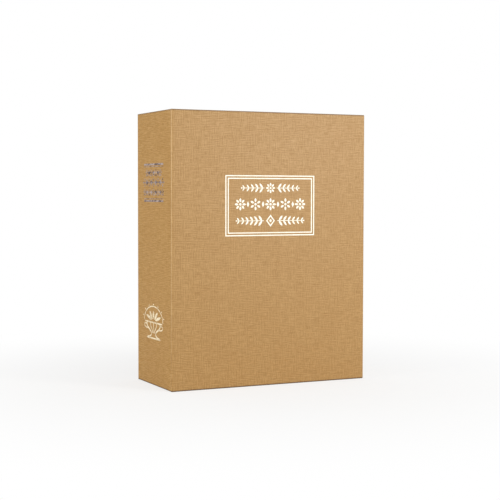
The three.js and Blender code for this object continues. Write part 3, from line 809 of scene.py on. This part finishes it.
# Screws: pan heads with a cross recess
boxScrewSizes = {
    "head": 2.8, "headHeight": 1.9, "rim": 0.7, "edge": 0.1, "glue": 0.05,
    "shank": 1.5, "length": 5.5, "thread": 0.28, "pitch": 0.45, "rise": 0.2, "threads": 9, "point": 0.35,
    "cross": 0.7, "crossReach": 1.5, "crossDepth": 1.1,
}
camScrewSizes = {
    "headHeight": 2.0, "rim": 0.9, "edge": 0.1, "shank": 1.97, "lead": 0.6,
    "cross": 0.9, "crossReach": 2.1, "crossDepth": 1.3,
}
recessTaper = 0.55  # of the foot of a recess
pinCap = 0.5


# A boolean, made part of the piece's mesh
def joined(piece, **settings):
    modifier = piece.modifiers.new("joined", "BOOLEAN")
    modifier.solver = "EXACT"
    for name, value in settings.items():
        setattr(modifier, name, value)
    graph = bpy.context.evaluated_depsgraph_get()
    whole = bpy.data.meshes.new_from_object(piece.evaluated_get(graph))
    piece.modifiers.clear()
    piece.data = whole
    return piece


def crossCut(piece, centre, axis, outward, s):
    reach, deep, wide = 2 * s["crossReach"], 2 * s["crossDepth"], s["cross"]
    for size in (Vector((wide, deep, reach)), Vector((reach, deep, wide))):
        mesh = bmesh.new()
        bmesh.ops.create_cube(mesh, size=1)
        bmesh.ops.scale(mesh, vec=(size.xzy if axis == 2 else size) * mm, verts=mesh.verts)
        foot = [point for point in mesh.verts if point.co[axis] * outward < 0]
        bmesh.ops.scale(mesh, vec=(recessTaper, recessTaper, recessTaper), verts=foot)
        bmesh.ops.translate(mesh, vec=centre, verts=mesh.verts)
        cutter = newPiece("cutter", mesh, "zinc")
        joined(piece, operation="DIFFERENCE", object=cutter)
        bpy.data.objects.remove(cutter)


def boxScrew(index):
    s = boxScrewSizes
    node = f"box_screw_{index}"
    low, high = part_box(node)
    atTail = (low.z + high.z) / 2 < cadBox[1].z / 2
    outward = -1 if atTail else 1  # the way the shank points
    top = -s["headHeight"] - s["glue"]
    seat = (high.z if atTail else low.z) - outward * top * mm
    centre = Vector(((low.x + high.x) / 2, (low.y + high.y) / 2, seat))
    crown = dome(s["head"], s["headHeight"] - s["rim"], (12, 24, 36, 48, 60, 72, 82, 90))
    profile = [(0, top)] + [(radius, top + along) for radius, along in crown]
    under = -s["glue"]
    profile += [(s["head"], under - s["edge"]), (s["head"] - s["edge"], under), (s["shank"], under)]
    for turn in range(s["threads"]):
        root = (turn + 1) * s["pitch"]
        profile += [(s["shank"] - s["thread"], root), (s["shank"], root + s["rise"])]
    profile += [(s["shank"] * 0.45, s["length"] - s["point"]), (0, s["length"])]
    mesh = lathe([(radius, along * outward) for radius, along in profile], centre, 2, 40)
    piece = newPiece(f"panScrew_{index}", mesh, "zinc")
    crossCut(piece, centre + Vector((0, 0, outward * top * mm)), 2, -outward, s)
    settle(smooth(piece, 30), "block", "zinc_plate", node)


def camScrew():
    s = camScrewSizes
    low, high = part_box("cam_screw")
    radius = (high.x - low.x) / 2 / mm
    tip, top = (low.y - lockCentre.y) / mm, (high.y - lockCentre.y) / mm
    under = top - s["headHeight"]
    profile = [(0, tip), (s["shank"] * 0.5, tip), (s["shank"], tip + s["lead"]), (s["shank"], under),
               (radius - s["edge"], under), (radius, under + s["edge"]), (radius, under + s["rim"])]
    crown = dome(radius, s["headHeight"] - s["rim"], (15, 30, 45, 60, 75))
    profile += [(reach, top - along) for reach, along in reversed(crown)] + [(0, top)]
    piece = newPiece("camBolt", lathe(profile, lockCentre, 1, 40), "zinc")
    crossCut(piece, Vector((lockCentre.x, high.y, lockCentre.z)), 1, 1, s)
    settle(smooth(piece, 30), "lock_cylinder", "zinc_plate", "cam_screw")


def hingePin():
    low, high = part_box("hinge_pin")
    length = (high.z - low.z) / mm
    crown = dome((high.x - low.x) / 2 / mm, pinCap, (0, 20, 40, 60, 90))
    mesh = lathe(crown + [(reach, length - along) for reach, along in reversed(crown)],
                 Vector(((low.x + high.x) / 2, (low.y + high.y) / 2, low.z)), 2, 32)
    fitted("pin", mesh, "zinc", 30, "block", "zinc_plate", "hinge_pin")


for index in range(1, 5):
    boxScrew(index)
camScrew()
hingePin()
print("screws and pin built")

# Felt on the floor of the box: soft at its edge and a little uneven
feltSizes = {"corner": 6, "roll": 1.2, "unevenness": 0.18, "waves": 55, "columns": 76, "rows": 102}


def feltLiner():
    low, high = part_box("floor_pad")
    s = metres(feltSizes)
    size, centre = high - low, (low + high) / 2
    mesh = bmesh.new()
    bmesh.ops.create_grid(mesh, x_segments=feltSizes["columns"], y_segments=feltSizes["rows"], size=0.5)
    bmesh.ops.scale(mesh, vec=(size.x, size.z, 1), verts=mesh.verts)
    bmesh.ops.rotate(mesh, cent=(0, 0, 0), matrix=Matrix.Rotation(math.pi / 2, 3, "X"), verts=mesh.verts)
    bmesh.ops.translate(mesh, vec=(centre.x, low.y, centre.z), verts=mesh.verts)
    core = Vector((size.x / 2 - s["corner"], 0, size.z / 2 - s["corner"]))
    for point in mesh.verts:
        away = point.co - centre
        past = Vector((abs(away.x) - core.x, 0, abs(away.z) - core.z))
        furthest = max(past.x, past.z)
        if furthest > 0:  # the square rim is drawn in to a rounded corner
            past = Vector((max(past.x, 0), 0, max(past.z, 0)))
            past *= furthest / past.length
            point.co.x = centre.x + math.copysign(min(abs(away.x), core.x) + past.x, away.x)
            point.co.z = centre.z + math.copysign(min(abs(away.z), core.z) + past.z, away.z)
        fall = max(0.0, 1 - (s["corner"] - furthest) / s["roll"])
        wave = noise.noise(point.co * feltSizes["waves"]) * 0.5 + 0.5
        point.co.y = low.y + s["roll"] * (1 - math.sqrt(1 - fall * fall)) + s["unevenness"] * wave
    for point in raised(mesh, mesh.faces[:], (0, 0, 0)):
        point.co.y = high.y
    faceOut(mesh)
    piece = fitted("felt_liner", mesh, "felt", 60, "block", "felt", "floor_pad")


feltLiner()
print("felt laid")


# Foil blocking. Shapes are drawn flat, u to the right and v up, and then laid on a cover.
def laid(u, v, width, height):
    return Matrix.Translation((u, v, 0)) @ Matrix.Diagonal((width, height, 1, 1))


def bar(mesh, u, v, width, height):
    bmesh.ops.create_grid(mesh, x_segments=1, y_segments=1, size=0.5, matrix=laid(u, v, width, height))


def dot(mesh, u, v, width, height, segments=16):
    return bmesh.ops.create_circle(mesh, cap_ends=True, segments=segments, radius=0.5,
                                   matrix=laid(u, v, width, height))["verts"]


def frameLine(mesh, width, height, stroke):
    for side in (-1, 1):
        bar(mesh, 0, side * (height - stroke) / 2, width, stroke)
        bar(mesh, side * (width - stroke) / 2, 0, stroke, height - 2 * stroke)


def leaf(mesh, u, v, length, width, turn):
    foot = Vector((u, v, 0)) + Vector((math.cos(turn), math.sin(turn), 0)) * length / 2
    for point in dot(mesh, 0, 0, length, width, 14):
        point.co.y *= max(0.0, 1 - abs(2 * point.co.x / length) ** 3) ** 0.5
        point.co = Matrix.Rotation(turn, 3, "Z") @ point.co + foot


rosetteShares = {"eye": 0.42, "start": 0.34, "petal": 0.66}  # of the radius


def rosette(mesh, u, v, radius, petals, plump=0.36):
    eye, start, petal = [radius * rosetteShares[key] for key in ("eye", "start", "petal")]
    dot(mesh, u, v, eye, eye)
    for index in range(petals):
        turn = math.pi / 2 + index * 2 * math.pi / petals
        leaf(mesh, u + start * math.cos(turn), v + start * math.sin(turn), petal, radius * plump, turn)


def lozenge(mesh, u, v, width, height, line=0):  # solid if it has no line
    outer = [(width / 2, 0), (0, height / 2), (-width / 2, 0), (0, -height / 2)]
    outside = [mesh.verts.new((u + x, v + y, 0)) for x, y in outer]
    if not line:
        mesh.faces.new(outside)
        return
    share = 1 - 2 * line * math.hypot(1 / width, 1 / height)
    inside = [mesh.verts.new((u + x * share, v + y * share, 0)) for x, y in outer]
    for index in range(4):
        step = (index + 1) % 4
        mesh.faces.new((outside[index], outside[step], inside[step], inside[index]))


# The stem starts beside the middle, and the leaves get smaller outwards. Shares are of the height.
garlandSizes = {"startShare": 0.62, "leafShare": 0.56, "widthShare": 0.2, "taper": 0.45,
                "stem": 0.55, "back": 0.6, "lean": 52, "berry": 1.3}


def garland(mesh, v, width, height, pairs):
    s = garlandSizes
    start = height * s["startShare"]
    run = width / 2 - start
    for side in (-1, 1):
        bar(mesh, side * (start + run / 2), v, run, s["stem"])
        for index in range(pairs):
            share = (index + 0.5) / pairs
            grow = height * (1 - s["taper"] * share)
            for up in (-1, 1):
                lean = up * math.radians(s["lean"])
                leaf(mesh, side * (start + run * share - s["back"]), v, s["leafShare"] * grow,
                     s["widthShare"] * grow, lean if side > 0 else math.pi - lean)
        dot(mesh, side * width / 2, v, s["berry"], s["berry"])


def foilPiece(name, body, finish, draw, place):
    mesh = bmesh.new()
    draw(mesh)
    raised(mesh, mesh.faces[:], (0, 0, coverSizes["foilDepth"]))
    bmesh.ops.transform(mesh, matrix=place @ Matrix.Scale(mm, 4), verts=mesh.verts)
    faceOut(mesh)
    # Shapes that cross become one
    piece = joined(newPiece(name, mesh, finish), operation="UNION", operand_type="COLLECTION", use_self=True)
    settle(piece, body, None)


# Two rules round three rows of rosettes, leaves and lozenges
titleSizes = {
    "left": -44.2, "right": 42.7, "low": 131.8, "high": 184.7, "outer": 1.0, "gap": 1.3, "inner": 0.95,
    "topRow": 15.4, "topWidth": 56, "topHeight": 9.6, "topRosette": 4.6,
    "middleRow": 1.2, "step": 14.6, "rosette": 5.4, "lozenge": (2.6, 5.2),
    "lowRow": -13.2, "lowWidth": 66, "lowHeight": 10.6, "lowLozenge": (8.6, 10.6), "line": 1.1, "eye": 2.4,
}


def drawTitle(mesh):
    s = titleSizes
    width, height = s["right"] - s["left"], s["high"] - s["low"]
    inset = 2 * (s["outer"] + s["gap"])
    frameLine(mesh, width, height, s["outer"])
    frameLine(mesh, width - inset, height - inset, s["inner"])
    garland(mesh, s["topRow"], s["topWidth"], s["topHeight"], 5)
    rosette(mesh, 0, s["topRow"], s["topRosette"], 8)
    for index in range(-2, 3):
        rosette(mesh, index * s["step"], s["middleRow"], s["rosette"], 8 if index % 2 == 0 else 6)
    for index in (-1.5, -0.5, 0.5, 1.5):
        lozenge(mesh, index * s["step"], s["middleRow"], *s["lozenge"])
    garland(mesh, s["lowRow"], s["lowWidth"], s["lowHeight"], 6)
    lozenge(mesh, 0, s["lowRow"], *s["lowLozenge"], s["line"])
    dot(mesh, 0, s["lowRow"], s["eye"], s["eye"])


labelSizes = {
    "width": 46.5, "high": 195, "low": 161.3, "middle": 0.6, "pitch": 5.4,
    "bars": ((0.9, 1.7), (2.8, 0.5)),  # how far in from head and foot, and width of stroke
    "rows": ((8.4, 7, 5.4, 5), (0.2, 9, 6.2, 4), (-8.6, 9, 5.2, 5)),  # place, motifs, size and petals
    "lozenge": 5, "rosetteShare": 0.64, "plump": 0.5,
}


def drawLabel(mesh):
    s = labelSizes
    for side in (-1, 1):
        for inset, stroke in s["bars"]:
            bar(mesh, 0, side * ((s["high"] - s["low"]) / 2 - inset), s["width"], stroke)
    for row, count, size, petals in s["rows"]:
        for index in range(count):
            u = (index - (count - 1) / 2) * s["pitch"]
            if index % 2:
                lozenge(mesh, u, row, s["lozenge"], size)
            else:
                rosette(mesh, u, row, size * s["rosetteShare"], petals, s["plump"])


# A fan of leaves over an urn, under a dotted arch. Shares are of half the width.
emblemSizes = {
    "middle": 1.4, "up": 55.4, "width": 52, "height": 29,
    "upright": 1.6, "level": 1.05, "fine": 1.1, "heavy": 1.2, "base": 1.2,
    "archShare": 0.86, "archIn": 1.5, "dotShare": 0.97, "dotOut": 0.2, "dot": (2.2, 1.3),
    "fan": (24, 57, 90, 123, 156), "fanShare": 0.72, "fanIn": 3.4, "fanFoot": (4, 1.2, 1.6),
    "leaf": (2.4, 1.2),
    "rimShare": 0.8, "stem": (-5, 9), "footShare": 0.62, "footLine": 0.8,
    "bowl": ((0.6, -0.4), (0.68, -6.4), (0.2, -6.2), (0.19, -10.2)),
    "foot": ((0.19, -9.6), (0.19, -11.8), (0.3, -12.8), (0.54, -13.3)),
    "handle": ((0.61, -2.2), (0.98, -0.6), (0.9, -6.6), (0.5, -5.6)),
    "rib": ((0.27, -0.6), (0.3, -5.4), (0.09, -5.4), (0.08, -9.4)),
}


def ribbon(mesh, points, width):  # a stroke through points
    places = [Vector((u, v, 0)) for u, v in points]
    last = len(places) - 1
    for vert in bmesh.ops.create_grid(mesh, x_segments=last, y_segments=1, size=0.5)["verts"]:
        index, side = round((vert.co.x + 0.5) * last), vert.co.y
        ahead = places[min(index + 1, last)] - places[max(index - 1, 0)]
        vert.co = places[index] + Vector((-ahead.y, ahead.x, 0)).normalized() * side * width


def curve(mesh, knots, wide, width, steps=14):  # a stroke along one Bezier curve
    bend = interpolate_bezier(*[Vector((u * wide, v, 0)) for u, v in knots], steps)
    ribbon(mesh, [(point.x, point.y) for point in bend], width)


def drawEmblem(mesh):
    s = emblemSizes
    wide, top = s["width"] / 2, s["height"] / 2

    def around(turn, reach, rise):  # on an ellipse over the rim of the urn
        return math.cos(turn) * reach, math.sin(turn) * rise + s["base"]

    arch = [math.pi * step / 24 for step in range(25)]
    ribbon(mesh, [around(turn, wide * s["archShare"], top - s["archIn"]) for turn in arch], s["level"])
    for turn in map(math.radians, s["fan"]):
        out, up = math.cos(turn) * wide * s["fanShare"], math.sin(turn) * (top - s["fanIn"])
        reach, rise, base = s["fanFoot"]
        leaf(mesh, math.cos(turn) * reach, base + math.sin(turn) * rise, math.hypot(out, up) - s["fanIn"],
             s["leaf"][0] + s["leaf"][1] * math.sin(turn), math.atan2(up, out))
    for turn in map(math.radians, range(15, 180, 25)):
        dot(mesh, *around(turn, wide * s["dotShare"], top + s["dotOut"]), *s["dot"])
    bar(mesh, 0, 0, wide * 2 * s["rimShare"], s["level"] * s["heavy"])
    bar(mesh, 0, s["stem"][0], s["fine"], s["stem"][1])
    for side in (-wide, wide):
        curve(mesh, s["bowl"], side, s["upright"])
        curve(mesh, s["foot"], side, s["upright"] * s["footLine"])
        curve(mesh, s["handle"], side, s["level"])
        curve(mesh, s["rib"], side, s["fine"])
    bar(mesh, 0, -top + s["level"] / 2, wide * 2 * s["footShare"], s["level"] * s["heavy"])


# Flat shapes stood up to face the front, and those of the spine turned on to it
stoodUp = Matrix.Rotation(math.pi / 2, 4, "X")


def onFront(x, z):
    return Matrix.Translation((x * mm, cadBox[0].y + coverSizes["foilDepth"] * mm, z * mm)) @ stoodUp


def onSpine(y, z):
    place = Matrix.Translation((cadBox[0].x + coverSizes["foilDepth"] * mm, y * mm, z * mm))
    return place @ Matrix.Rotation(-math.pi / 2, 4, "Z") @ stoodUp


def between(sizes, start, end):
    return (sizes[start] + sizes[end]) / 2


foilPiece("title_foil", "cover", "whiteFoil", drawTitle,
          onFront(between(titleSizes, "left", "right"), between(titleSizes, "low", "high")))
foilPiece("label_foil", "spine", "silverFoil", drawLabel,
          onSpine(labelSizes["middle"], between(labelSizes, "low", "high")))
foilPiece("emblem_foil", "spine", "creamFoil", drawEmblem, onSpine(emblemSizes["middle"], emblemSizes["up"]))
print("foil blocked")

# Studio: pale floor, white surround, one large soft key and a fill. Places and lamps are in metres.
cameraSizes = {"place": (-0.4795, -1.0039, 0.1696), "yaw": -25.48, "pitch": -2.68, "roll": 0.09,
               "lens": 88.27}
lensData = bpy.data.cameras.new("camera")
lensData.lens = cameraSizes["lens"]
lensData.sensor_width = 36
lensData.clip_start = 0.02
camera = bpy.data.objects.new("camera", lensData)
bpy.context.scene.collection.objects.link(camera)
aim = Euler((math.radians(90 + cameraSizes["pitch"]), 0, math.radians(cameraSizes["yaw"])), "XYZ")
camera.matrix_world = (Matrix.Translation(cameraSizes["place"]) @ aim.to_matrix().to_4x4()
                       @ Matrix.Rotation(math.radians(cameraSizes["roll"]), 4, "Z"))
bpy.context.scene.camera = camera

lamps = {
    "key": {"place": (0.97, -1.48, 0.56), "size": 0.5, "power": 15.8, "warmth": (1.0, 0.985, 0.96)},
    "fill": {"place": (-1.75, -0.2, 0.36), "size": 0.7, "power": 11.9, "warmth": (1.0, 0.99, 0.89)},
}
lampTarget = Vector((0, 0, 0.12))
for name, lamp in lamps.items():
    data = bpy.data.lights.new(name, "AREA")
    data.size = lamp["size"]
    data.energy = lamp["power"]
    data.color = lamp["warmth"]
    light = bpy.data.objects.new(name, data)
    light.location = lamp["place"]
    light.rotation_euler = (lampTarget - light.location).to_track_quat("-Z", "Y").to_euler()
    bpy.context.scene.collection.objects.link(light)

# White where it is seen, and dimmer as a light
surroundLight = 0.62
world = bpy.data.worlds.new("surround")
bpy.context.scene.world = world
world.use_nodes = True
sky = Wiring(world.node_tree)
backdrop = sky.tree.nodes["Background"].inputs
sky.feed(backdrop["Color"], (1, 1, 1, 1))
sky.feed(backdrop["Strength"],
         sky.node("MapRange", {}, {"Value": sky.seen(), "To Min": surroundLight, "To Max": 1.0}))

# The floor takes the object's shadow near it and fades into the white surround further off
floorLook = {"near": 100, "far": 420, "glowNear": 0.72}


def floorFinish(look):
    finish = Finish("floorPaint", {"Roughness": 0.9, "Specular IOR Level": 0.0})
    finish.set({"Base Color": finish.blend(finish.grain(30, 2), tone(247, 247, 247), tone(251, 251, 251))})
    reach = finish.node("VectorMath", {"operation": "LENGTH"}, {0: finish.coords}, "Value")
    glow = finish.node("Emission", {}, {"Color": (1, 1, 1, 1), "Strength": 1.0})
    share = finish.seen() * finish.fade(reach, look["near"] * mm, look["far"] * mm, look["glowNear"], 1.0)
    painted = Wire(finish, finish.shader.outputs[0])
    mixed = finish.node("MixShader", {}, {0: share, 1: painted, 2: glow})
    finish.feed(finish.tree.nodes["Material Output"].inputs["Surface"], mixed)
    return finish.material


finishes["floor"] = floorFinish(floorLook)
ground = bmesh.new()
bmesh.ops.create_grid(ground, x_segments=1, y_segments=1, size=6)
floor = newPiece("floor", ground, "floor")
bpy.context.scene.view_settings.view_transform = "Standard"
print("studio set")
